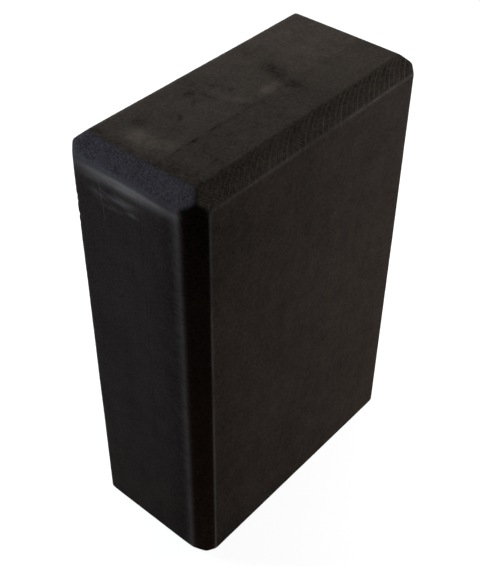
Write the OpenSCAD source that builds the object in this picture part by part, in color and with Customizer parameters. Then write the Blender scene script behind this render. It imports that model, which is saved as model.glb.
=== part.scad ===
// Laminated foam exercise block: two foam sheets bonded face to face, then cut to a brick with a
// broad bevel along every edge. It stands on its end, with its front face towards -Y.
// The origin is the middle of the end that it stands on.

/* [Block] */
// Width across the large front and rear faces
block_width = 150; // [120:1:200]
// Thickness from the front face to the rear face
block_thickness = 76; // [60:1:110]
// Height from end to end
block_height = 229; // [180:1:300]

/* [Foam sheets] */
// Thickness of the thinner sheet, which carries the front face
front_thickness = 30; // [20:1:40]
// Thickness of the contact adhesive between the two sheets
adhesive_thickness = 0.3; // [0.1:0.1:1]

/* [Edges] */
// Leg of the 45 degree bevel along every edge
bevel = 8.5; // [4:0.5:12]
// Radius of the two ridges along each bevel, where the knife edge is rubbed soft
ridge_radius = 2.5; // [0.5:0.5:4]

/* [Hidden] */
$fn = 96;

foam_colour = [0.16, 0.15, 0.14];
rear_foam_colour = [0.19, 0.18, 0.17];
adhesive_colour = [0.32, 0.30, 0.27];

front_face_y = -block_thickness / 2;
rear_face_y = block_thickness / 2;
adhesive_front_y = front_face_y + front_thickness;
adhesive_rear_y = adhesive_front_y + adhesive_thickness;

// A ridge turns through half a right angle, so its arc takes this much of each flat beside it.
ridge_setback = ridge_radius * tan(22.5);
// How far a cutting tool or a slab runs past the block
overrun = 5;

// Ends of the arc of a ridge at the origin, for a face that runs along -Y below it and a bevel
// that climbs away to the upper left of it
function ridge_arc_ends() = [[0, -ridge_setback], [-ridge_setback, ridge_setback] * sqrt(1 / 2)];

// The two ridges of one corner, as the four ends of their arcs, anticlockwise
function corner_points(x, y) = let (
    side_ridge = [for (p = ridge_arc_ends()) [x, y - bevel] + p],
    end_ridge = [for (p = ridge_arc_ends()) [x - bevel, y] + [p[1], p[0]]]
) concat(side_ridge, [end_ridge[1], end_ridge[0]]);

// Cross-section of the block: a bevelled rectangle, centred, with an arc on every ridge
module bevelled_section(size_x, size_y) {
    half_x = size_x / 2;
    half_y = size_y / 2;
    corner = corner_points(half_x, half_y);
    polygon(concat(
        corner,
        [for (i = [3:-1:0]) [-corner[i][0], corner[i][1]]],
        [for (i = [0:3]) -corner[i]],
        [for (i = [3:-1:0]) [corner[i][0], -corner[i][1]]]
    ));
    for (side_x = [-1, 1], side_y = [-1, 1]) {
        translate([side_x * (half_x - ridge_radius), side_y * (half_y - bevel - ridge_setback)])
            circle(r = ridge_radius);
        translate([side_x * (half_x - bevel - ridge_setback), side_y * (half_y - ridge_radius)])
            circle(r = ridge_radius);
    }
}

// The whole bevelled block, where the three bevelled cross-sections agree
module block() {
    translate([0, 0, block_height / 2])
        intersection() {
            linear_extrude(height = block_height + 2 * overrun, center = true)
                bevelled_section(block_width, block_thickness);
            rotate([90, 0, 0])
                linear_extrude(height = block_thickness + 2 * overrun, center = true)
                    bevelled_section(block_width, block_height);
            rotate([90, 0, 90])
                linear_extrude(height = block_width + 2 * overrun, center = true)
                    bevelled_section(block_thickness, block_height);
        }
}

// A slab that spans the block in width and height, between two distances from its middle plane
module slab(y_low, y_high) {
    translate([-block_width / 2 - overrun, y_low, -overrun])
        cube([block_width + 2 * overrun, y_high - y_low, block_height + 2 * overrun]);
}

// Thinner foam sheet, with the front face and its four bevels
module front_sheet() {
    color(foam_colour)
        intersection() {
            block();
            slab(front_face_y - overrun, adhesive_front_y);
        }
}

// Thicker foam sheet, with the rear face and its four bevels
module rear_sheet() {
    color(rear_foam_colour)
        intersection() {
            block();
            slab(adhesive_rear_y, rear_face_y + overrun);
        }
}

// Cured contact adhesive, trimmed flush with the foam when the block was cut
module adhesive_film() {
    color(adhesive_colour)
        intersection() {
            block();
            slab(adhesive_front_y, adhesive_rear_y);
        }
}

front_sheet();
rear_sheet();
adhesive_film();
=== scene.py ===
import math

import bmesh
import bpy
import numpy as np
from mathutils import Matrix, Vector, noise


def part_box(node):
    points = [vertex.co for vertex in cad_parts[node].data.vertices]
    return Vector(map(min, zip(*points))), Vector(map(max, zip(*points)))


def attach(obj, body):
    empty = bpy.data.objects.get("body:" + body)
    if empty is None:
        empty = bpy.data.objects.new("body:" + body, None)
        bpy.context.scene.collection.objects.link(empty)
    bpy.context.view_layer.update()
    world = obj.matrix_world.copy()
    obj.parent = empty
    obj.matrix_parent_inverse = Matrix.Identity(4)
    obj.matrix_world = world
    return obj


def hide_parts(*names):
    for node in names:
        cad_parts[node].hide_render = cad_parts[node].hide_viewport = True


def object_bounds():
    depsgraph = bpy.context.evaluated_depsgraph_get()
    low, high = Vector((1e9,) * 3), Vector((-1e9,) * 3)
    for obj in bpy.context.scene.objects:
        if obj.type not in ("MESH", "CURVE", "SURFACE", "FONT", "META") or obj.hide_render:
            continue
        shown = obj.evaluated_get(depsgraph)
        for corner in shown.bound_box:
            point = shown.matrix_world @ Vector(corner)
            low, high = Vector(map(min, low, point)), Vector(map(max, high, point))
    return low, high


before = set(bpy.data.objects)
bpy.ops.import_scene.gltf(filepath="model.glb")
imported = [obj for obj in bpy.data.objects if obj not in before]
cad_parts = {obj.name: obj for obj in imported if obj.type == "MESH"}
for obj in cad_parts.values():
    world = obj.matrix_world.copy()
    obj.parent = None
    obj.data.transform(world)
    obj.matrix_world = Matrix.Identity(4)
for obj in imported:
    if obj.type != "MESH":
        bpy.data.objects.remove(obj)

CAD_LOW, CAD_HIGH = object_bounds()
MM = 0.001


# ---------------------------------------------------------------- sizes of the block

BLOCK_WIDTH = CAD_HIGH.x - CAD_LOW.x
BLOCK_THICKNESS = CAD_HIGH.y - CAD_LOW.y
BLOCK_HEIGHT = CAD_HIGH.z - CAD_LOW.z
HALF_SIZE = np.array([BLOCK_WIDTH, BLOCK_THICKNESS, BLOCK_HEIGHT]) / 2
MIDDLE = np.array(list((CAD_LOW + CAD_HIGH) / 2))
FRONT_BOND_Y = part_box("front_sheet")[1].y
REAR_BOND_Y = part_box("rear_sheet")[0].y
BEVEL = 8.5 * MM

# How the hand-trimmed bevels differ from the nominal one. Each bevel lies between two faces, named
# by axis and side, and has a leg in millimetres on each of them.
BEVEL_LEGS = {
    ("top", "front"): (8.0, 7.1),
    ("top", "left"): (8.6, 7.1),
    ("left", "front"): (9.1, 7.8),
    ("top", "rear"): (8.6, 8.1),
    ("top", "right"): (8.2, 8.8),
    ("right", "front"): (8.4, 7.5),
    ("left", "rear"): (8.3, 8.6),
    ("right", "rear"): (8.9, 8.3),
    ("base", "front"): (8.5, 6.8),
    ("base", "rear"): (8.4, 8.2),
    ("base", "left"): (8.7, 7.6),
    ("base", "right"): (8.2, 8.6),
}
# Each face's axis and side of the block
FACES = {
    "left": (0, -1),
    "right": (0, 1),
    "front": (1, -1),
    "rear": (1, 1),
    "base": (2, -1),
    "top": (2, 1),
}
FACE_NAMES = list(FACES)
BEVEL_NAMES = list(BEVEL_LEGS)
TOP_FRONT, TOP_LEFT, LEFT_FRONT = BEVEL_NAMES[:3]


def face_normal(name):
    axis, side = FACES[name]
    normal = np.zeros(3)
    normal[axis] = side
    return normal


def face_reach(name):
    return HALF_SIZE[FACES[name][0]]


def depths(points):
    """Distance in millimetres that each point lies under each face's plane, by the face's name."""
    return {
        name: (HALF_SIZE[axis] - side * points[:, axis]) / MM for name, (axis, side) in FACES.items()
    }


def cutting_planes():
    """Outward normals and distances from the middle of the block, faces first and then bevels."""
    normals = [face_normal(name) for name in FACE_NAMES]
    reaches = [face_reach(name) for name in FACE_NAMES]
    for (one, other), (leg_on_one, leg_on_other) in BEVEL_LEGS.items():
        slope = face_normal(other) / leg_on_one + face_normal(one) / leg_on_other
        reach = face_reach(other) / leg_on_one + face_reach(one) / leg_on_other - MM
        length = np.linalg.norm(slope)
        normals.append(slope / length)
        reaches.append(reach / length)
    return np.array(normals), np.array(reaches)


PLANE_NORMALS, PLANE_REACHES = cutting_planes()


# ---------------------------------------------------------------- the shape of the foam

# How soft a ridge is: this softness gives a rounded ridge of about 2 mm radius.
RIDGE_SOFTNESS = 0.24 * MM
CRISP_SOFTNESS = 0.13 * MM
# What rubbing adds, and what a corner adds within its size
RUBBED_SOFTNESS = 0.12 * MM
CORNER_SOFTNESS = 0.30 * MM
CORNER_SIZE = 6 * MM
NEAR_CORNER_SHARE = 0.9
# Where the rubbed and the crisp ridges run, in millimetres in from the block's faces
RUBBED_FROM_FRONT = 9.5
RUBBED_FROM_TOP = 7.1
RUBBED_FROM_LEFT_WIDTH = 3
RUBBED_WIDTH = 5
CRISP_UPPER = 4
CRISP_UPPER_WIDTH = 8
CRISP_UPRIGHT_FROM_LEFT = 8.2
CRISP_UPRIGHT_WIDTHS = (2, 3)

KNIFE_WANDER = 0.16 * MM
KNIFE_WANDER_LENGTH = 38 * MM
FACE_WAVE = 0.10 * MM
FACE_WAVE_LENGTH = 46 * MM
FACE_RIPPLE = 0.035 * MM
FACE_RIPPLE_LENGTH = 7 * MM
# Separate places in the noise, one for each use of it
KNIFE_PLACE, BLOT_PLACE, WAVE_PLACE, RIPPLE_PLACE, CELL_PLACE, FILM_PLACE = 3.7, 1.3, 9.1, 4.4, 2.9, 6.2


def wander(points, length, place):
    """Smooth random values between about -1 and 1 that change over that length."""
    scaled = points / length
    return np.array([
        noise.noise(Vector((x + place, y - place, z + 2 * place))) for x, y, z in scaled
    ])


def near(distance, width):
    """1 at no distance, falling smoothly to about a third at the width."""
    return np.exp(-((distance / width) ** 2))


def softness(points):
    """Ridges round the left side are rubbed soft, those round the front face are still crisp."""
    depth = depths(points)
    on_left = near(depth["left"], RUBBED_FROM_LEFT_WIDTH)
    upright = on_left * near(depth["front"] - RUBBED_FROM_FRONT, RUBBED_WIDTH)
    upper = on_left * near(depth["top"] - RUBBED_FROM_TOP, RUBBED_WIDTH)
    upper_front = near(depth["front"] - CRISP_UPPER, CRISP_UPPER_WIDTH)
    upper_front = upper_front * near(depth["top"] - CRISP_UPPER, CRISP_UPPER_WIDTH)
    front_width, left_width = CRISP_UPRIGHT_WIDTHS
    upright_front = near(depth["front"], front_width)
    upright_front = upright_front * near(depth["left"] - CRISP_UPRIGHT_FROM_LEFT, left_width)
    crisp = np.minimum(upper_front + upright_front, 1)
    x, y, z = points.T
    is_near_corner = (x < 0) & (y < 0) & (z > 0)
    from_corner = np.linalg.norm(np.abs(points) - (HALF_SIZE - BEVEL / 2), axis=1)
    corner = CORNER_SOFTNESS * near(from_corner, CORNER_SIZE)
    corner = np.where(is_near_corner, NEAR_CORNER_SHARE, 1) * corner
    soft = RIDGE_SOFTNESS + RUBBED_SOFTNESS * np.maximum(upright, upper) + corner
    return soft + (CRISP_SOFTNESS - RIDGE_SOFTNESS) * crisp


def trimmed(points):
    """How far each point stands out of the trimmed block, the direction out, and plane weights."""
    knife = KNIFE_WANDER * wander(points, KNIFE_WANDER_LENGTH, KNIFE_PLACE)
    heights = points @ PLANE_NORMALS.T - PLANE_REACHES
    heights[:, len(FACE_NAMES):] += knife[:, None]
    soft = softness(points)[:, None]
    highest = heights.max(axis=1, keepdims=True)
    parts = np.exp((heights - highest) / soft)
    total = parts.sum(axis=1, keepdims=True)
    weights = parts / total
    outward = weights @ PLANE_NORMALS
    standing_out = (highest + soft * np.log(total))[:, 0]
    return standing_out, outward, weights


def trim(points, rounds=4):
    """Moves points onto the trimmed block. Returns them, the way out, and the plane weights."""
    for _ in range(rounds):
        standing_out, outward, weights = trimmed(points)
        length = (outward ** 2).sum(axis=1)
        points = points - outward * (standing_out / length)[:, None]
    return points, outward / np.linalg.norm(outward, axis=1)[:, None], weights


# ---------------------------------------------------------------- marks of the cutter

CUTTER_RADIUS = 31 * MM
CUTTER_REACH = 18.5 * MM
# The cutter leaves a deep mark once a turn, and two shallow ones between.
CUTTER_STEP = 11.65 * MM
CUTTER_START = 3.5 * MM
CUTTER_MARK = 0.9 * MM
SHALLOW_MARKS = 3
SHALLOW_SHARE = 0.5
# How clear the cutter marks are, on the bevels where they differ from the rest
CUTTER_DEPTH = {TOP_FRONT: 1.0, TOP_LEFT: 0.0, LEFT_FRONT: 0.15}
OTHER_CUTTER_DEPTH = 0.6
# How far the marks are shifted from one bevel to the next
BEVEL_SHIFT = 0.017


def bevel_places(points):
    """For each bevel: the distance along it, and the distance across it from its second face."""
    for (one, other), (leg_on_one, leg_on_other) in BEVEL_LEGS.items():
        along_axis = 3 - FACES[one][0] - FACES[other][0]
        along = points[:, along_axis]
        slope = np.hypot(leg_on_one, leg_on_other)
        climb = (face_normal(one) * leg_on_other - face_normal(other) * leg_on_one) / slope
        foot = face_normal(other) * face_reach(other)
        foot = foot + face_normal(one) * (face_reach(one) - leg_on_other * MM)
        across = (points - foot) @ climb
        yield along, across


def cutter_phase(along, across, way):
    """The same all along one sweep of the round cutter, so stripes of it are its marks."""
    bow = np.sqrt(np.maximum(CUTTER_RADIUS ** 2 - (across + CUTTER_REACH) ** 2, 0))
    return along + way * bow


def cutter_phases(points, bevel_weights):
    """The phases of the sweeps out and back, on the bevel that each point lies on or next to."""
    phase = np.zeros(len(points))
    cross = np.zeros(len(points))
    chosen = bevel_weights.argmax(axis=1)
    for number, (along, across) in enumerate(bevel_places(points)):
        here = chosen == number
        shift = BEVEL_SHIFT * number
        phase[here] = cutter_phase(along[here], across[here], 1) + shift
        cross[here] = cutter_phase(along[here], across[here], -1) + shift
    return phase, cross


def cutter_marks(phase, step):
    """Narrow grooves one step apart along the phase, from 0 between them to 1 in them."""
    from_mark = (phase - CUTTER_START + step / 2) % step - step / 2
    return near(from_mark, CUTTER_MARK)


# ---------------------------------------------------------------- marks of use

def blot(points, axis_a, axis_b, middle, size, turn):
    """A soft oval mark on a face, in millimetres on that face's two axes."""
    a = points[:, axis_a] / MM - middle[0]
    b = points[:, axis_b] / MM - middle[1]
    c, s = math.cos(math.radians(turn)), math.sin(math.radians(turn))
    return np.exp(-(((a * c + b * s) / size[0]) ** 2) - ((-a * s + b * c) / size[1]) ** 2)


# Rubbed and soiled places on the top end: middle, size, turn and strength, pale above 0
TOP_MARKS = [
    ((-56, 6), (5.5, 11), 6, 0.78),
    ((-55.7, 12), (3.4, 3.6), 0, 1.0),
    ((-58, 7.5), (3.6, 1.5), 18, 0.7),
    ((-52, -3.6), (5.0, 2.4), 0, 0.75),
    ((-60, 1.2), (3.2, 1.2), 12, 0.35),
    ((-66, 6), (1.2, 1.2), 0, -0.9),
    ((-49.5, 17), (3.4, 3.2), 0, -0.55),
    ((-44, 3), (5, 3), 20, -0.22),
    ((-35.5, 7.5), (2.8, 1.1), 30, -0.8),
    ((-13, 21), (2.6, 3), 0, -0.5),
    ((-19.6, 17.5), (2.4, 1.7), 0, -0.85),
    ((-22.9, 11), (3.6, 1.3), 15, -0.5),
    ((-7.8, 12.8), (1.9, 3.2), 0, -0.55),
    ((-4.7, 6.7), (1.7, 1.9), 0, -0.8),
    ((-15.1, 10.2), (1.1, 4.0), 0, -0.8),
    ((-10, 0), (1.7, 5.6), 29, 0.55),
    ((-11.7, -6.5), (3.5, 2), 0, -0.45),
    ((4.4, -5.2), (3.2, 2.6), 0, 1.05),
    ((9, -4.6), (5, 1.3), 9, 0.6),
    ((20.0, 3.2), (4.8, 9.0), -24, -0.95),
    ((15.4, -7.5), (3.0, 5.2), 6, -0.45),
    ((15.6, -14.5), (2.6, 4.6), -8, -0.40),
    ((40, -8.8), (2.6, 2), 0, -0.45),
    ((22.6, 22.3), (2.6, 2.6), 0, -0.4),
    ((-48.9, -24.3), (2.6, 1.2), 10, -0.5),
]
# How far the outlines of those places wander
BLOT_WARP = 1.6 * MM
BLOT_WARP_LENGTH = 5 * MM
BLOT_WARP_WAY = np.array([1.0, -0.8, 0.0])

# Pits in the bond on the top end: place along X in millimetres, and depth
BOND_PITS = [(-52.6, 1.0), (-44.2, 0.8), (-42.6, 0.9), (-32.5, 1.0), (-29.4, 0.6), (-18.2, 0.5)]
PIT_SHARE = 0.75
PIT_SIZE = (1.3, 0.7)
# Strength, middle and length along X of the parts of the bond that show pale or dark
PALE_BOND = (0.35, 52, 14)
DARK_BOND = (0.28, -35, 24)
BOND_WIDTH = 0.6

# Dents on the ridge between the left side and the bevel behind it: height in millimetres, and depth
EDGE_NICKS = [(200.5, 0.9), (197.6, 0.6), (191.0, 1.0), (186.5, 0.5)]
NICK_FROM_REAR = 8.3
NICK_HEIGHT = 0.9
NICK_WIDTH = 1.8

# Rubbed places on the left side, on its Y and Z axes measured from the middle of its base
LEFT_MARKS = [
    ((2, 211), (7.5, 1.5), -7, 0.30),
    ((-3, 207.4), (2.6, 0.8), 0, 0.28),
    ((20, 215.3), (6, 1.3), -4, 0.10),
    ((17, 209), (4, 1.2), 6, 0.12),
    ((10, 205), (6, 1.0), -8, 0.08),
]


def top_blotches(points):
    warp = wander(points, BLOT_WARP_LENGTH, BLOT_PLACE)[:, None] * BLOT_WARP
    moved = points + warp * BLOT_WARP_WAY
    return sum(
        strength * blot(moved, 0, 1, middle, size, turn) for middle, size, turn, strength in TOP_MARKS
    )


def from_bond(points):
    return (points[:, 1] - FRONT_BOND_Y) / MM


def bond_pits(points):
    x = points[:, 0] / MM
    length, width = PIT_SIZE
    along = sum(PIT_SHARE * depth * near(x - place, length) for place, depth in BOND_PITS)
    return along * near(from_bond(points), width)


def bond_edge(points):
    """The bond is a faint dark line towards the left of the top end, and a pale one at its right."""
    x = points[:, 0] / MM
    pale, pale_middle, pale_length = PALE_BOND
    dark, dark_middle, dark_length = DARK_BOND
    share = pale * near(x - pale_middle, pale_length) - dark * near(x - dark_middle, dark_length)
    return share * near(from_bond(points), BOND_WIDTH)


def left_rubs(points):
    from_base = points + MIDDLE
    return sum(
        strength * blot(from_base, 1, 2, middle, size, turn)
        for middle, size, turn, strength in LEFT_MARKS
    )


def edge_nicks(points):
    depth = depths(points)
    from_ridge = np.hypot(depth["left"], depth["rear"] - NICK_FROM_REAR)
    along = sum(deep * near(depth["base"] - height, NICK_HEIGHT) for height, deep in EDGE_NICKS)
    return along * near(from_ridge, NICK_WIDTH)


# ---------------------------------------------------------------- gloss, painted highlights, painted sheen, tone and painted shade

# How polished the foam is, from 0, dull, to 1, glossy: on a face, on a bevel, and on the ridge
# between a face and a bevel. The same values pale the colour along the ridges and bands, partly
# real rubbing and partly a painted highlight.
FACE_SHINE = 0.008
BEVEL_SHINE = {TOP_LEFT: 0.02, LEFT_FRONT: 0.0}
OTHER_BEVEL_SHINE = 0.008
RIDGE_SHINE = {
    ("left", LEFT_FRONT): 0.13,
    ("front", LEFT_FRONT): 0.34,
    ("front", TOP_FRONT): 0.045,
    ("top", TOP_FRONT): 0.0,
    ("top", TOP_LEFT): 0.0,
    ("left", TOP_LEFT): 0.05,
}
OTHER_RIDGE_SHINE = 0.07
# Polish beside the upright front ridge of the left side, which also pales the colour there as a painted
# highlight: strength, width, and how it grows upwards
UPRIGHT_SHINE = 0.15
UPRIGHT_SHINE_WIDTH = 3.0
UPRIGHT_SHINE_LOW = 0.6
UPRIGHT_SHINE_RISE = 0.9
UPRIGHT_SHINE_LENGTH = 45
# The glossy band across the top of the left side, which also pales the colour there as a painted
# highlight:
# strength, depth under the ridge, width above and below that, and middle and half length along Y
BAND_SHINE = 0.78
BAND_DEPTH = 2.2
BAND_WIDTHS = (1.7, 3.3)
BAND_MIDDLE = 2
BAND_LENGTH = 24
# The painted cool sheen that reaches under the ridge onto the left side, where it is a painted
# highlight band
LOWER_PAINTED_SHEEN = 0.4
LOWER_PAINTED_SHEEN_DEPTH = 2
LOWER_PAINTED_SHEEN_WIDTH = 4

# Tones, pale above 0 and dark under it. A width or length is in millimetres.
# Painted shade in the pits of the bond
PIT_PAINTED_SHADE = -0.8
# Painted shade on the top end along its left ridge
TOP_LEFT_PAINTED_SHADE, TOP_LEFT_PAINTED_SHADE_WIDTH = -0.55, 4.5
# Painted shade on the left side beside its front ridge, darker lower down
LEFT_FRONT_PAINTED_SHADE, LEFT_FRONT_PAINTED_SHADE_WIDTH, LEFT_FRONT_PAINTED_SHADE_LENGTH = -0.75, 11, 22
# Painted shade on the front face, darker towards its left ridge
FRONT_LEFT_PAINTED_SHADE, FRONT_LEFT_PAINTED_SHADE_WIDTH = -0.22, 16
# The top-front bevel is darker just under its top ridge
BEVEL_TOP_DARKENING, BEVEL_TOP_DARKENING_DEPTH, BEVEL_TOP_DARKENING_WIDTH = -0.40, 1, 3
# A painted highlight along the ridge between the front face and the top-front bevel
FRONT_RIDGE_PAINTED_HIGHLIGHT = 1.05
# Painted light: the top end grows paler towards its right end
TOP_RIGHT_PAINTED_LIGHT, TOP_RIGHT_START, TOP_RIGHT_LENGTH = 0.28, -5, 40
# Painted light on the upright front-left bevel, paler towards its base where the floor's bounce reaches
# it
UPRIGHT_PAINTED_LIGHT_LENGTH = 45
# Painted shadow at the top of the upright front-left bevel
UPRIGHT_TOP_PAINTED_SHADOW, UPRIGHT_TOP_PAINTED_SHADOW_LENGTH = -0.8, 30


def on_ridge(face_weight, bevel_weight):
    """1 on the ridge where a face and a bevel meet evenly, and 0 away from it."""
    return 4 * face_weight * bevel_weight


def polish_and_painted_highlight(points, face, bevel):
    """Gloss where the foam is polished, which also pales its colour: partly real rubbing and partly a
    painted highlight along the ridges and bands.
    """
    depth = depths(points)
    polish_and_highlight = FACE_SHINE * sum(face.values())
    for name, weight in bevel.items():
        polish_and_highlight = polish_and_highlight + BEVEL_SHINE.get(name, OTHER_BEVEL_SHINE) * weight
        for side in name:
            strength = RIDGE_SHINE.get((side, name), OTHER_RIDGE_SHINE)
            polish_and_highlight = polish_and_highlight + strength * on_ridge(face[side], weight)
    upwards = UPRIGHT_SHINE_RISE * np.exp(-depth["top"] / UPRIGHT_SHINE_LENGTH)
    upright = near(depth["front"] - RUBBED_FROM_FRONT, UPRIGHT_SHINE_WIDTH)
    upright = UPRIGHT_SHINE * upright * (UPRIGHT_SHINE_LOW + upwards)
    from_band = depth["top"] - RUBBED_FROM_TOP - BAND_DEPTH
    above, below = BAND_WIDTHS
    band = np.where(from_band < 0, near(from_band, above), near(from_band, below))
    band = BAND_SHINE * band * near(points[:, 1] / MM - BAND_MIDDLE, BAND_LENGTH)
    return polish_and_highlight + (upright + left_rubs(points) + band) * face["left"]


def painted_cool_sheen(points, face, bevel):
    """Where a cool grey sheen is painted into the colour: on the upper left bevel and just under it."""
    below = depths(points)["top"] - RUBBED_FROM_TOP
    lower = LOWER_PAINTED_SHEEN * near(below - LOWER_PAINTED_SHEEN_DEPTH, LOWER_PAINTED_SHEEN_WIDTH)
    return bevel[TOP_LEFT] + lower * face["left"]


def tone_with_painted_light_and_shade(points, face, bevel, sheet_tone):
    """The tone of the foam away from its blots and pits: the sheets' own tone and the bond line, with
    painted shade, painted light and a painted highlight.
    """
    depth = depths(points)
    from_left_ridge = np.maximum(depth["left"] - BEVEL_LEGS[TOP_LEFT][0], 0)
    rightwards = (points[:, 0] / MM - TOP_RIGHT_START) / TOP_RIGHT_LENGTH
    top_tone = sheet_tone + bond_edge(points)
    # Painted shade along the top end's left ridge
    top_tone = top_tone + TOP_LEFT_PAINTED_SHADE * near(from_left_ridge, TOP_LEFT_PAINTED_SHADE_WIDTH)
    # Painted light, paler towards the right end of the top
    top_tone = top_tone + TOP_RIGHT_PAINTED_LIGHT * np.clip(rightwards, 0, 1)

    # Painted shade on the left side near the front, growing lower down
    lower_down = 1 - np.exp(-depth["top"] / LEFT_FRONT_PAINTED_SHADE_LENGTH)
    left_tone = near(depth["front"] - RUBBED_FROM_FRONT, LEFT_FRONT_PAINTED_SHADE_WIDTH)
    left_tone = LEFT_FRONT_PAINTED_SHADE * left_tone * lower_down

    # Painted shade on the front face beside the upright ridge
    from_upright_ridge = np.maximum(depth["left"] - BEVEL_LEGS[LEFT_FRONT][0], 0)
    front_tone = FRONT_LEFT_PAINTED_SHADE * near(from_upright_ridge, FRONT_LEFT_PAINTED_SHADE_WIDTH)

    # Darker just under the top ridge of the top-front bevel
    bevel_tone = BEVEL_TOP_DARKENING * near(depth["top"] - BEVEL_TOP_DARKENING_DEPTH, BEVEL_TOP_DARKENING_WIDTH)
    # Painted highlight along the front face's top ridge
    ridge_highlight = FRONT_RIDGE_PAINTED_HIGHLIGHT * on_ridge(face["front"], bevel[TOP_FRONT])
    # Painted bounce light low on the upright bevel and painted shadow at its top
    upright_painted_light_and_shadow = np.exp(-depth["base"] / UPRIGHT_PAINTED_LIGHT_LENGTH)
    upright_painted_light_and_shadow = upright_painted_light_and_shadow + UPRIGHT_TOP_PAINTED_SHADOW * near(depth["top"], UPRIGHT_TOP_PAINTED_SHADOW_LENGTH)
    return (
        top_tone * face["top"]
        + left_tone * face["left"]
        + front_tone * face["front"]
        + bevel_tone * bevel[TOP_FRONT]
        + ridge_highlight
        + upright_painted_light_and_shadow * bevel[LEFT_FRONT]
    )


# How far the marks go into the foam, and how far blots on the top end raise or sink it
GROOVE_DEPTH = 0.06 * MM
CELL_DEPTH = 0.03 * MM
CELL_LENGTH = 2.2 * MM
BLOT_RISE = 0.07 * MM
PIT_DEPTH = 0.15 * MM
NICK_DEPTH = 0.55 * MM
# The share of a bevel's plane from which a point counts as cut, and the span to fully cut
CUT_START = 0.55
CUT_SPAN = 0.35


def finish_shape(points, outward, weights, sheet_tone):
    """Adds what the knife, the cutter and use leave on the foam, with painted shade, light, highlights
    and sheen in its attributes. Returns points and attributes.
    """
    face_count = len(FACE_NAMES)
    face = dict(zip(FACE_NAMES, weights.T))
    bevel_weights = weights[:, face_count:]
    bevel = dict(zip(BEVEL_NAMES, bevel_weights.T))
    cut = np.clip((bevel_weights.max(axis=1) - CUT_START) / CUT_SPAN, 0, 1)

    phase, cross = cutter_phases(points, bevel_weights)
    clear = sum(CUTTER_DEPTH.get(name, OTHER_CUTTER_DEPTH) * weight for name, weight in bevel.items())
    marked = cut * clear
    shallow = SHALLOW_SHARE * cutter_marks(phase, CUTTER_STEP / SHALLOW_MARKS)
    grooves = cutter_marks(phase, CUTTER_STEP) + shallow

    blotches = top_blotches(points) * face["top"]
    pits = bond_pits(points)
    move = -FACE_WAVE * (0.5 + 0.5 * wander(points, FACE_WAVE_LENGTH, WAVE_PLACE))
    move -= FACE_RIPPLE * wander(points, FACE_RIPPLE_LENGTH, RIPPLE_PLACE)
    move -= GROOVE_DEPTH * grooves * marked
    move -= CELL_DEPTH * cut * wander(points, CELL_LENGTH, CELL_PLACE)
    move += BLOT_RISE * np.clip(blotches, -1, 1)
    move -= PIT_DEPTH * pits
    move -= NICK_DEPTH * edge_nicks(points)
    points = np.clip(points + outward * move[:, None], -HALF_SIZE, HALF_SIZE)
    return points, {
        "cut": cut,
        "marked": marked,
        "phase": phase,
        "cross": cross,
        # the foam's own tone and marks, with painted shade, painted light and a painted highlight
        "tone": blotches + PIT_PAINTED_SHADE * pits + tone_with_painted_light_and_shade(points, face, bevel, sheet_tone),
        # gloss, and a pale colour that is partly real rubbing and partly a painted highlight
        "polish_and_highlight": polish_and_painted_highlight(points, face, bevel),
        # painted cool sheen on the upper left bevel and under its ridge
        "painted_sheen": painted_cool_sheen(points, face, bevel),
    }


# ---------------------------------------------------------------- making the pieces

# A box's corners lie half a unit out along each axis, so a place nearly that far out is on a side.
ON_SIDE = 0.4999
CLOSE = 1e-4
SHARP_ANGLE = math.radians(55)
ROW_CLOSENESS = 0.5


def graded(share):
    """Spreads rows of a grid from -0.5 to 0.5 so that they lie closer at both ends."""
    even = (1 - ROW_CLOSENESS) * share
    return even + ROW_CLOSENESS * 0.5 * np.sin(math.pi * share)


def gridded_box(rows):
    """A closed box of squares, with that many rows of them along each axis."""
    made = bmesh.new()
    bmesh.ops.create_cube(made, size=1)
    for axis in range(3):
        along = [e for e in made.edges if abs(e.verts[0].co[axis] - e.verts[1].co[axis]) > 0.5]
        bmesh.ops.subdivide_edges(made, edges=along, cuts=rows[axis] - 1, use_grid_fill=True)
    return made


def merge_flat_side(made, at_y):
    """Makes one face of all the squares that lie on a bond, and fans it from its middle."""
    flat = [f for f in made.faces if all(abs(v.co.y - at_y) < CLOSE for v in f.verts)]
    merged = bmesh.ops.dissolve_faces(made, faces=flat, use_verts=False)
    bmesh.ops.poke(made, faces=merged["region"])


def onto_block(shares, y_range, bonded):
    """Lays the box's grid on the bevelled block: each side covers its face and half of its bevels."""
    low_y, high_y = y_range
    half = HALF_SIZE - BEVEL / 2
    sides = np.abs(shares) > ON_SIDE
    points = np.empty_like(shares)
    points[:, 0] = 2 * half[0] * graded(shares[:, 0])
    points[:, 2] = 2 * half[2] * graded(shares[:, 2])
    points[:, 1] = low_y + (high_y - low_y) * (shares[:, 1] + 0.5)
    inset = np.maximum(np.abs(points) - (HALF_SIZE - BEVEL), 0)
    for axis in range(3):
        others = [a for a in range(3) if a != axis]
        depth = inset[:, others].max(axis=1)
        on_side = sides[:, axis]
        if axis == 1:
            on_side = on_side & (np.sign(shares[:, 1]) != bonded)
        side = np.sign(shares[on_side, axis])
        points[on_side, axis] = side * (HALF_SIZE[axis] - depth[on_side])
    return points


def inside_outline(shares):
    """Which vertices of a box lie away from its sides along X and Z."""
    return (np.abs(shares[:, 0]) < ON_SIDE) & (np.abs(shares[:, 2]) < ON_SIDE)


def new_piece(name, made):
    mesh = bpy.data.meshes.new(name)
    made.to_mesh(mesh)
    made.free()
    piece = bpy.data.objects.new(name, mesh)
    bpy.context.scene.collection.objects.link(piece)
    return piece


def get_points(mesh):
    flat = np.empty(len(mesh.vertices) * 3)
    mesh.vertices.foreach_get("co", flat)
    return flat.reshape(-1, 3)


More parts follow.
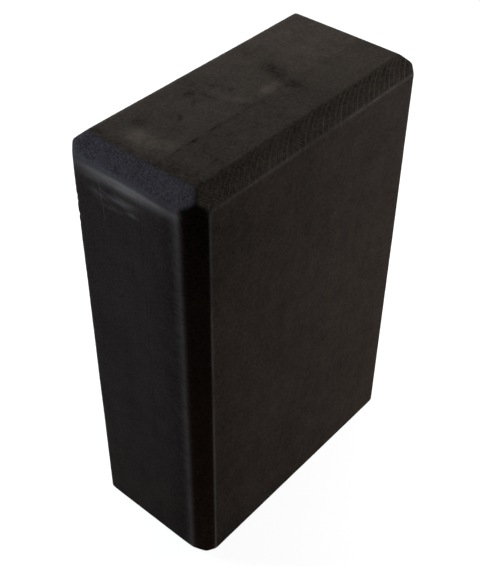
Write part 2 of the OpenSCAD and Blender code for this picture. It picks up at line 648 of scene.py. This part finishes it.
def finish_mesh(mesh, points, values):
    """Places the vertices, keeps their values as attributes, and smooths all but sharp edges."""
    mesh.vertices.foreach_set("co", (points + MIDDLE).ravel())
    mesh.update()
    for name, value in values.items():
        layer = mesh.attributes.new(name, "FLOAT", "POINT")
        layer.data.foreach_set("value", value.astype(np.float32))
    mesh.shade_smooth()
    mesh.set_sharp_from_angle(angle=SHARP_ANGLE)


def foam_sheet(name, rows, y_range, bonded, sheet_tone):
    """One foam sheet. bonded is the side, -1 or 1 along Y, on which it is bonded to the other."""
    made = gridded_box(rows)
    merge_flat_side(made, 0.5 * bonded)
    piece = new_piece(name, made)
    shares = get_points(piece.data)
    on_bond = np.abs(shares[:, 1] - 0.5 * bonded) < CLOSE
    middle = on_bond & inside_outline(shares)
    points = onto_block(shares, y_range, bonded)
    kept = points[middle].copy()
    points, outward, weights = trim(points)
    points, values = finish_shape(points, outward, weights, sheet_tone)
    points[middle] = kept
    points[on_bond, 1] = y_range[1] if bonded > 0 else y_range[0]
    finish_mesh(piece.data, points, values)
    return piece


# The adhesive's rim lies a little under the foam, by a wandering depth.
FILM_TONE = -0.15
FILM_DEPTH = 0.03 * MM
FILM_WANDER = 0.02 * MM
FILM_WANDER_LENGTH = 3 * MM


def adhesive_film(name, rows, y_range):
    made = gridded_box(rows)
    merge_flat_side(made, 0.5)
    merge_flat_side(made, -0.5)
    piece = new_piece(name, made)
    shares = get_points(piece.data)
    middle = inside_outline(shares)
    points = onto_block(shares, y_range, 0)
    low_y, high_y = y_range
    y = low_y + (high_y - low_y) * (shares[:, 1] + 0.5)
    points[:, 1] = y
    kept = points[middle].copy()
    points, outward, weights = trim(points)
    points, values = finish_shape(points, outward, weights, FILM_TONE)
    move = FILM_WANDER * wander(points, FILM_WANDER_LENGTH, FILM_PLACE) - FILM_DEPTH
    points = points + outward * move[:, None]
    points[middle] = kept
    points[:, 1] = y
    finish_mesh(piece.data, points, values)
    return piece


# ---------------------------------------------------------------- shader maths

class Value:
    """A socket of a material, on which Python's operators add Math nodes."""

    def __init__(self, maker, socket):
        self.maker = maker
        self.socket = socket

    def math(self, operation, *others, clamp=False):
        settings = {"operation": operation, "use_clamp": clamp}
        inputs = dict(enumerate([self, *others]))
        return self.maker.node("ShaderNodeMath", settings, inputs)[0]

    def __add__(self, other):
        return self.math("ADD", other)

    __radd__ = __add__

    def __sub__(self, other):
        return self.math("SUBTRACT", other)

    def __rsub__(self, other):
        return (self * -1) + other

    def __mul__(self, other):
        return self.math("MULTIPLY", other)

    __rmul__ = __mul__

    def __truediv__(self, other):
        return self.math("DIVIDE", other)

    def __abs__(self):
        return self.math("ABSOLUTE")

    def above(self, level):
        return self.math("GREATER_THAN", level)

    def clamped(self):
        return self.math("ADD", 0.0, clamp=True)


class Maker:
    """Adds nodes to one material's or world's tree."""

    def __init__(self, tree):
        self.tree = tree
        self.tree.nodes.clear()

    def node(self, kind, settings=None, inputs=None):
        """A node of that type. Its settings come first, then its sockets' values or links."""
        made = self.tree.nodes.new(kind)
        for key, value in (settings or {}).items():
            setattr(made, key, value)
        for key, value in (inputs or {}).items():
            if isinstance(value, Value):
                self.tree.links.new(value.socket, made.inputs[key])
            else:
                made.inputs[key].default_value = value
        return Outputs(self, made)

    def attribute(self, name):
        return self.node("ShaderNodeAttribute", {"attribute_name": name})["Fac"]

    def noise(self, where, size, detail=3.0, roughness=0.6):
        inputs = {"Vector": where, "Scale": 1 / size, "Detail": detail, "Roughness": roughness}
        return self.node("ShaderNodeTexNoise", None, inputs)["Fac"]

    def line_noise(self, where, size, detail=1.0):
        settings = {"noise_dimensions": "1D"}
        inputs = {"W": where, "Scale": 1 / size, "Detail": detail}
        return self.node("ShaderNodeTexNoise", settings, inputs)["Fac"]

    def cells(self, where, size):
        inputs = {"Vector": where, "Scale": 1 / size}
        return self.node("ShaderNodeTexVoronoi", None, inputs)["Distance"]

    def stretched(self, where, factors):
        settings = {"operation": "MULTIPLY"}
        return self.node("ShaderNodeVectorMath", settings, {0: where, 1: factors})["Vector"]

    def place(self):
        return self.node("ShaderNodeTexCoord")["Object"]

    def mix(self, share, one, other):
        """One colour where share is 0 and the other where it is 1."""
        settings = {"data_type": "RGBA"}
        return self.node("ShaderNodeMix", settings, {"Factor": share, 6: one, 7: other})[2]


class Outputs:
    def __init__(self, maker, made):
        self.maker = maker
        self.made = made

    def __getitem__(self, key):
        return Value(self.maker, self.made.outputs[key])


def new_material(name):
    material = bpy.data.materials.new(name)
    material.use_nodes = True
    return material, Maker(material.node_tree)


# ---------------------------------------------------------------- materials

FOAM_DARK = (0.0012, 0.0009, 0.0007, 1)
FOAM_PALE = (0.0392, 0.0328, 0.0283, 1)
# Colours of the painted cool sheen, which stands in for cool light reflected off the upper left bevel
PAINTED_SHEEN_DARK = (0.0012, 0.0011, 0.0012, 1)
PAINTED_SHEEN_PALE = (0.0404, 0.0362, 0.0396, 1)
# The pale colour of rubbed foam, which also serves as a painted highlight along the ridges and bands
RUBBED_AND_HIGHLIT_FOAM = (0.050, 0.048, 0.048, 1)
ADHESIVE_DARK = (0.0050, 0.0038, 0.0030, 1)
ADHESIVE_PALE = (0.0354, 0.0300, 0.0260, 1)

# Sizes of the foam's textures, from its cells to its clouds
CELL_SIZE = 0.75 * MM
DUST_SIZE = 1.25 * MM
SCUFF_SIZE = 1.6 * MM
SMEAR_SIZE = 3.6 * MM
STREAM_SIZE = 5 * MM
MOTTLE_SIZE = 9 * MM
CLOUD_SIZE = 42 * MM
# Stretches of the scuffs, the upright streams and the rubbed streaks along the sides
SCUFF_STRETCH = (1.0, 0.35, 1.0)
STREAM_STRETCH = (1.0, 1.0, 0.10)
RUBBED_STRETCH = (1.0, 0.22, 1.8)
COARSE = {"detail": 4.0, "roughness": 0.65}
DUSTY = {"detail": 3.0, "roughness": 0.65}
SOFT = {"detail": 2.0, "roughness": 0.5}
# How much each of them changes the shade, which is 0 for dark, 0.5 for plain and 1 for pale foam
PLAIN_SHADE = 0.5
MOTTLE_SHARE = 0.32
CLOUD_SHARE = 0.25
STREAM_SHARE = 0.16
DUST_SHARE = 0.75
CUT_DUST_SHARE = 0.3
CELL_MIDDLE = 0.45
CUT_CELL_SHARE = 0.25
# Painted glints: the cells stand out more where the cool sheen is painted
PAINTED_GLINT_CELL_SHARE = 0.3
TONE_SHARE = 0.16
TONE_SMEAR_SHARE = 0.26
LINE_SHARE = 0.42
LINE_MIDDLE = 0.08
SCRATCH_SHARE = 0.25
# What makes up the height for the bump
CELL_HEIGHT = 0.35
DUST_HEIGHT = 0.65
LINE_HEIGHT = 0.3

# Lines of the cutter marks: how many to one turn of the cutter, width and strength
LINE_WANDER = 2.4 * MM
LINE_WANDER_LENGTH = 17 * MM
LINE_STRENGTH_LENGTH = 9 * MM
MAIN_WIDTH, MAIN_SHARE = 0.75 * MM, 0.6
LESSER_COUNT, LESSER_WIDTH, LESSER_SHARE = 3, 0.8 * MM, 0.8
FINE_COUNT, FINE_WIDTH, FINE_SHARE = 7, 0.6 * MM, 0.62
CROSSING_COUNT, CROSSING_WIDTH, CROSSING_SHARE = 6, 0.6 * MM, 0.40

# The scratch and the streaks at the top of the left side: places, lengths and slants
STREAK_SLANT = (0.98, 0.20)
STREAK_SIZE = (9 * MM, 1.5 * MM)
STREAK_CONTRAST, STREAK_CUT = 3.2, 1.5
STREAK_MIDDLE = (8 * MM, 210 * MM)
STREAK_REACH = (19 * MM, 9 * MM)
SCRATCH_TOP = (15.1 * MM, 217.3 * MM)
SCRATCH_SLANT = 0.103
SCRATCH_WIDTH = 0.38 * MM
SCRATCH_MIDDLE, SCRATCH_REACH = 207 * MM, 10.5 * MM
SCRATCH_END = 0.02
SIDE_DEPTH = 0.8 * MM

# How rubbing and the painted highlights change the colour, the gloss and the roughness
WORN_SHINE, WORN_STREAK = 0.5, 0.3
WORN_PATCHES, WORN_LEAST = 0.8, 0.6
GLOSS_LEAST, GLOSS_SMEAR = 0.30, 1.4
GLOSS_STREAK, GLOSS_SCRATCH = 0.22, 0.12
ROUGHNESS, ROUGHNESS_GRAIN, ROUGHNESS_WORN = 0.75, 0.25, 0.2
COAT_ROUGHNESS = 0.45
BUMP_STRENGTH, BUMP_DEPTH = 0.5, 0.22 * MM


def cutter_lines(phase, step, width):
    """Lines one step apart along the phase, 1 in the middle of a line."""
    turn = ((phase - CUTTER_START) / step + 0.5).math("FRACT")
    return (1 - abs(turn - 0.5) * (step / width)).clamped()


def arc_shade(maker, phase, cross, x):
    """Pale lines left by the round cutter: bold ones to the right, fine crossing ones to the left."""
    wobble = (maker.line_noise(phase, LINE_WANDER_LENGTH) - 0.5) * LINE_WANDER
    moved = phase + wobble
    strength = maker.line_noise(phase, LINE_STRENGTH_LENGTH, 2.0) * 1.4 + 0.1
    main = cutter_lines(moved, CUTTER_STEP, MAIN_WIDTH) * (0.65 + x * 9).clamped()
    lesser = cutter_lines(moved, CUTTER_STEP / LESSER_COUNT, LESSER_WIDTH)
    lesser = lesser * strength * (0.8 + x * 5).clamped()
    fine = cutter_lines(phase + wobble * 2, CUTTER_STEP / FINE_COUNT, FINE_WIDTH) * (1.1 - strength)
    crossing = cutter_lines(cross, CUTTER_STEP / CROSSING_COUNT, CROSSING_WIDTH)
    crossing = crossing * (0.35 - x * 18).clamped()
    bold = main * MAIN_SHARE + lesser * LESSER_SHARE
    return bold + fine * FINE_SHARE + crossing * CROSSING_SHARE


def fading(value, middle, reach):
    """1 at the middle, falling evenly to 0 at its reach on both sides."""
    return (1 - abs(value - middle) / reach).clamped()


def left_streaks(maker, x, y, z):
    """Slanting streaks and one thin scratch under the ridge at the top of the left side."""
    on_left = (x * -1).above(HALF_SIZE[0] - SIDE_DEPTH)
    straight, slant = STREAK_SLANT
    length, width = STREAK_SIZE
    slanted = maker.node("ShaderNodeCombineXYZ", None, {
        0: (y * straight + z * slant) / length,
        1: (z * straight - y * slant) / width,
        2: 0.0,
    })["Vector"]
    streaks = (maker.noise(slanted, 1.0, **SOFT) * STREAK_CONTRAST - STREAK_CUT).clamped()
    zone = fading(z, STREAK_MIDDLE[1], STREAK_REACH[1]) * fading(y, STREAK_MIDDLE[0], STREAK_REACH[0])
    from_scratch = (y - SCRATCH_TOP[0]) - (z - SCRATCH_TOP[1]) * SCRATCH_SLANT
    along = fading(z, SCRATCH_MIDDLE, SCRATCH_REACH).above(SCRATCH_END)
    scratch = fading(from_scratch, 0.0, SCRATCH_WIDTH) * along
    return streaks * zone * on_left, scratch * on_left


def finish_surface(maker, shade, dark, pale, height, streak=0.0, scratch=0.0):
    """Colour, gloss and bump, which foam and adhesive share since both are cut and rubbed together. The
    pale rubbed colour is partly real wear and partly a painted highlight.
    """
    place = maker.place()
    polish_and_highlight = maker.attribute("polish_and_highlight")
    smear = maker.noise(maker.stretched(place, RUBBED_STRETCH), SMEAR_SIZE)
    patches = maker.noise(place, MOTTLE_SIZE, **COARSE)
    dull = maker.mix(shade.clamped(), dark, pale)
    # The painted cool sheen mixes a cool grey colour in on the upper left bevel and under it
    cool = maker.mix(shade.clamped(), PAINTED_SHEEN_DARK, PAINTED_SHEEN_PALE)
    colour = maker.mix(maker.attribute("painted_sheen").clamped(), dull, cool)
    # Rubbed wear and painted highlight: the polish pales the colour along the ridges and bands
    rubbing_and_highlight = polish_and_highlight * WORN_SHINE + streak * WORN_STREAK
    worn_and_highlit = (rubbing_and_highlight * (patches * WORN_PATCHES + WORN_LEAST)).clamped()
    colour = maker.mix(worn_and_highlit, colour, RUBBED_AND_HIGHLIT_FOAM)
    gloss = polish_and_highlight * (GLOSS_LEAST + smear * GLOSS_SMEAR)
    gloss = (gloss + streak * GLOSS_STREAK + scratch * GLOSS_SCRATCH).clamped()
    bump = maker.node("ShaderNodeBump", None, {
        "Strength": BUMP_STRENGTH,
        "Distance": BUMP_DEPTH,
        "Height": height,
    })["Normal"]
    shader = maker.node("ShaderNodeBsdfPrincipled", None, {
        "Base Color": colour,
        "Roughness": ROUGHNESS - (height - 0.5) * ROUGHNESS_GRAIN - worn_and_highlit * ROUGHNESS_WORN,
        "Specular IOR Level": 0.0,
        "Coat Weight": gloss,
        "Coat Roughness": COAT_ROUGHNESS,
        "Normal": bump,
    })["BSDF"]
    maker.node("ShaderNodeOutputMaterial", None, {"Surface": shader})


def foam_material():
    """Black closed-cell foam: grainy, dusty, with open cells and cutter marks where it is cut."""
    material, maker = new_material("black foam")
    place = maker.place()
    xyz = maker.node("ShaderNodeSeparateXYZ", None, {0: place})
    x, y, z = xyz["X"], xyz["Y"], xyz["Z"]
    cut = maker.attribute("cut")
    marked = maker.attribute("marked")
    tone = maker.attribute("tone")
    painted_sheen = maker.attribute("painted_sheen")

    cell = maker.cells(place, CELL_SIZE)
    dust = maker.noise(place, DUST_SIZE, **DUSTY)
    smear = maker.noise(place, SMEAR_SIZE)
    scuff = maker.noise(maker.stretched(place, SCUFF_STRETCH), SCUFF_SIZE)
    stream = maker.noise(maker.stretched(place, STREAM_STRETCH), STREAM_SIZE)
    mottle = maker.noise(place, MOTTLE_SIZE, **COARSE)
    cloud = maker.noise(place, CLOUD_SIZE, **SOFT)
    lines = arc_shade(maker, maker.attribute("phase"), maker.attribute("cross"), x) * marked
    streak, scratch = left_streaks(maker, x, y, z)

    shade = PLAIN_SHADE + (mottle - 0.5) * MOTTLE_SHARE + (cloud - 0.5) * CLOUD_SHARE
    shade = shade + (stream - 0.5) * STREAM_SHARE
    shade = shade + (dust - 0.5) * (DUST_SHARE + cut * CUT_DUST_SHARE)
    # Where the cool sheen is painted, the cells stand out as painted glints
    shade = shade + (cell - CELL_MIDDLE) * cut * (CUT_CELL_SHARE + painted_sheen * PAINTED_GLINT_CELL_SHARE)
    shade = shade + tone * (TONE_SHARE + smear * TONE_SMEAR_SHARE)
    shade = shade + abs(tone).clamped() * (scuff - 0.5)
    shade = shade + (lines - LINE_MIDDLE) * marked * LINE_SHARE + scratch * SCRATCH_SHARE
    height = cell * CELL_HEIGHT + dust * DUST_HEIGHT - lines * LINE_HEIGHT
    finish_surface(maker, shade, FOAM_DARK, FOAM_PALE, height, streak, scratch)
    return material


BEAD_SIZE, BEAD_SHARE = 1.6 * MM, 0.9
RUN_SIZE, RUN_SHARE = 11 * MM, 0.6
ADHESIVE_TONE_SHARE = 0.29


def adhesive_material():
    """Beads and smears of cured adhesive, as dull as the foam round it."""
    material, maker = new_material("cured adhesive")
    place = maker.place()
    beads = maker.noise(place, BEAD_SIZE)
    runs = maker.noise(place, RUN_SIZE, **SOFT)
    shade = PLAIN_SHADE + (beads - 0.5) * BEAD_SHARE + (runs - 0.5) * RUN_SHARE
    shade = shade + maker.attribute("tone") * ADHESIVE_TONE_SHARE
    finish_surface(maker, shade, ADHESIVE_DARK, ADHESIVE_PALE, beads)
    return material


# ---------------------------------------------------------------- studio

WHITE = (1.0, 1.0, 1.0, 1)
PAPER_DARK = (0.14, 0.14, 0.14, 1)
PAPER_PALE = (0.16, 0.16, 0.16, 1)
PAPER_GLOW = (0.90, 0.90, 0.90, 1)
PAPER_FIBRE = 3 * MM
# Distance from the block at which the lit paper reaches plain white
PAPER_FADE = 1.5
PAPER_HALF_SIZE = 12.0
PAPER_GAP = 0.2 * MM
# The colour that the paper throws up at the block, warmed by the fill lamp
WARM_BOUNCE = (0.42, 0.29, 0.23, 1)
ROOM_LEVEL = 0.02
# Each lamp's place, size, level and colour
LAMPS = {
    "top_lamp": ((0.18, 0.22, 0.53), 0.50, 1.55, (1.0, 0.98, 0.90)),
    "fill_lamp": ((0.30, -0.25, 0.15), 0.35, 1.80, (1.0, 1.0, 1.0)),
    "window_lamp": ((-0.30, 0.50, 0.36), 0.30, 1.80, (0.66, 0.77, 0.98)),
}


def seen_rays(maker):
    """1 for rays from the camera and for those that gloss or glass sends on, and 0 for the rest."""
    path = maker.node("ShaderNodeLightPath")
    seen = path["Is Camera Ray"] + path["Is Glossy Ray"] + path["Is Transmission Ray"]
    return seen.clamped()


def floor_material():
    """Pale paper. It glows towards the camera only, and throws a warm light up at the block."""
    material, maker = new_material("white paper")
    place = maker.place()
    fibre = maker.noise(place, PAPER_FIBRE, detail=3.0, roughness=0.5)
    pale = maker.mix(fibre, PAPER_DARK, PAPER_PALE)
    paper = maker.node("ShaderNodeBsdfDiffuse", None, {"Color": pale})[0]
    distance = maker.node("ShaderNodeVectorMath", {"operation": "LENGTH"}, {0: place})["Value"]
    glow_colour = maker.mix((distance / PAPER_FADE).clamped(), PAPER_GLOW, WHITE)
    glow = maker.node("ShaderNodeEmission", None, {"Color": glow_colour, "Strength": 1.0})[0]
    lit = maker.node("ShaderNodeAddShader", None, {0: paper, 1: glow})[0]
    bounce = maker.node("ShaderNodeBsdfDiffuse", None, {"Color": WARM_BOUNCE})[0]
    shader = maker.node("ShaderNodeMixShader", None, {0: seen_rays(maker), 1: bounce, 2: lit})[0]
    maker.node("ShaderNodeOutputMaterial", None, {"Surface": shader})
    return material


def lay_floor():
    made = bmesh.new()
    bmesh.ops.create_grid(made, x_segments=8, y_segments=8, size=PAPER_HALF_SIZE)
    bmesh.ops.translate(made, vec=(0, 0, CAD_LOW.z - PAPER_GAP), verts=made.verts)
    floor = new_piece("studio_floor", made)
    floor.data.materials.append(floor_material())


def light_world():
    world = bpy.data.worlds.new("studio")
    bpy.context.scene.world = world
    world.use_nodes = True
    maker = Maker(world.node_tree)
    around = maker.node("ShaderNodeBackground", None, {"Color": WHITE, "Strength": ROOM_LEVEL})[0]
    seen = maker.node("ShaderNodeBackground", None, {"Color": WHITE, "Strength": 1.0})[0]
    shader = maker.node("ShaderNodeMixShader", None, {0: seen_rays(maker), 1: around, 2: seen})[0]
    maker.node("ShaderNodeOutputWorld", None, {"Surface": shader})


def lamp(name, place, size, level, colour):
    """A square soft lamp. A white card that faces it at the block renders at about that level."""
    data = bpy.data.lights.new(name, "AREA")
    data.shape = "SQUARE"
    data.size = size
    data.color = colour
    away = Vector(place) - Vector(MIDDLE)
    data.energy = level * (math.pi * away.length) ** 2
    thing = bpy.data.objects.new(name, data)
    thing.location = place
    thing.rotation_mode = "QUATERNION"
    thing.rotation_quaternion = away.to_track_quat("Z", "Y")
    thing.visible_camera = False
    bpy.context.scene.collection.objects.link(thing)


def light_studio():
    light_world()
    for name, (place, size, level, colour) in LAMPS.items():
        lamp(name, place, size, level, colour)


CAMERA_AZIMUTH = math.radians(49.799)
CAMERA_ELEVATION = math.radians(42.117)
CAMERA_DISTANCE = 0.51097
# How far to the right of the block's middle, and above it, the camera aims
CAMERA_AIM = (-4.04 * MM, 4.29 * MM)
CAMERA_ROLL = math.radians(-0.378)
CAMERA_LENS = 65.82
CAMERA_SENSOR = 36.0
CAMERA_CLIP_START = 0.01
UPWARDS = Vector((0, 0, 1))


def aim_camera():
    data = bpy.data.cameras.new("camera")
    data.lens = CAMERA_LENS
    data.sensor_width = CAMERA_SENSOR
    data.clip_start = CAMERA_CLIP_START
    camera = bpy.data.objects.new("camera", data)
    bpy.context.scene.collection.objects.link(camera)
    level = math.cos(CAMERA_ELEVATION)
    back = Vector((
        -math.sin(CAMERA_AZIMUTH) * level,
        -math.cos(CAMERA_AZIMUTH) * level,
        math.sin(CAMERA_ELEVATION),
    ))
    middle = Vector(MIDDLE)
    place = middle + back * CAMERA_DISTANCE
    right = (-back).cross(UPWARDS).normalized()
    up = right.cross(-back)
    target = middle + right * CAMERA_AIM[0] + up * CAMERA_AIM[1]
    ahead = (target - place).normalized()
    right = ahead.cross(UPWARDS).normalized()
    up = right.cross(ahead)
    turn = Matrix((right, up, -ahead)).transposed() @ Matrix.Rotation(-CAMERA_ROLL, 3, "Z")
    camera.matrix_world = Matrix.Translation(place) @ turn.to_4x4()
    bpy.context.scene.camera = camera


# ---------------------------------------------------------------- the whole model

# Rows of squares along X, Y and Z, and the tone of each sheet's end grain
FRONT_ROWS = (190, 30, 220)
REAR_ROWS = (190, 46, 220)
FILM_ROWS = (120, 1, 180)
FRONT_TONE = -0.30
REAR_TONE = 0.05


def build():
    front_bond = FRONT_BOND_Y - MIDDLE[1]
    rear_bond = REAR_BOND_Y - MIDDLE[1]
    outer = HALF_SIZE[1] - BEVEL / 2
    front = foam_sheet("front_foam_sheet", FRONT_ROWS, (-outer, front_bond), 1, FRONT_TONE)
    rear = foam_sheet("rear_foam_sheet", REAR_ROWS, (rear_bond, outer), -1, REAR_TONE)
    film = adhesive_film("adhesive_layer", FILM_ROWS, (front_bond, rear_bond))
    foam = foam_material()
    front.data.materials.append(foam)
    rear.data.materials.append(foam)
    film.data.materials.append(adhesive_material())
    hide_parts("front_sheet")
    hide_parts("rear_sheet")
    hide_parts("adhesive_film")
    for piece in (front, rear):
        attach(piece, "root")
    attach(film, "root")


build()
lay_floor()
light_studio()
aim_camera()
bpy.context.scene.view_settings.view_transform = "Standard"
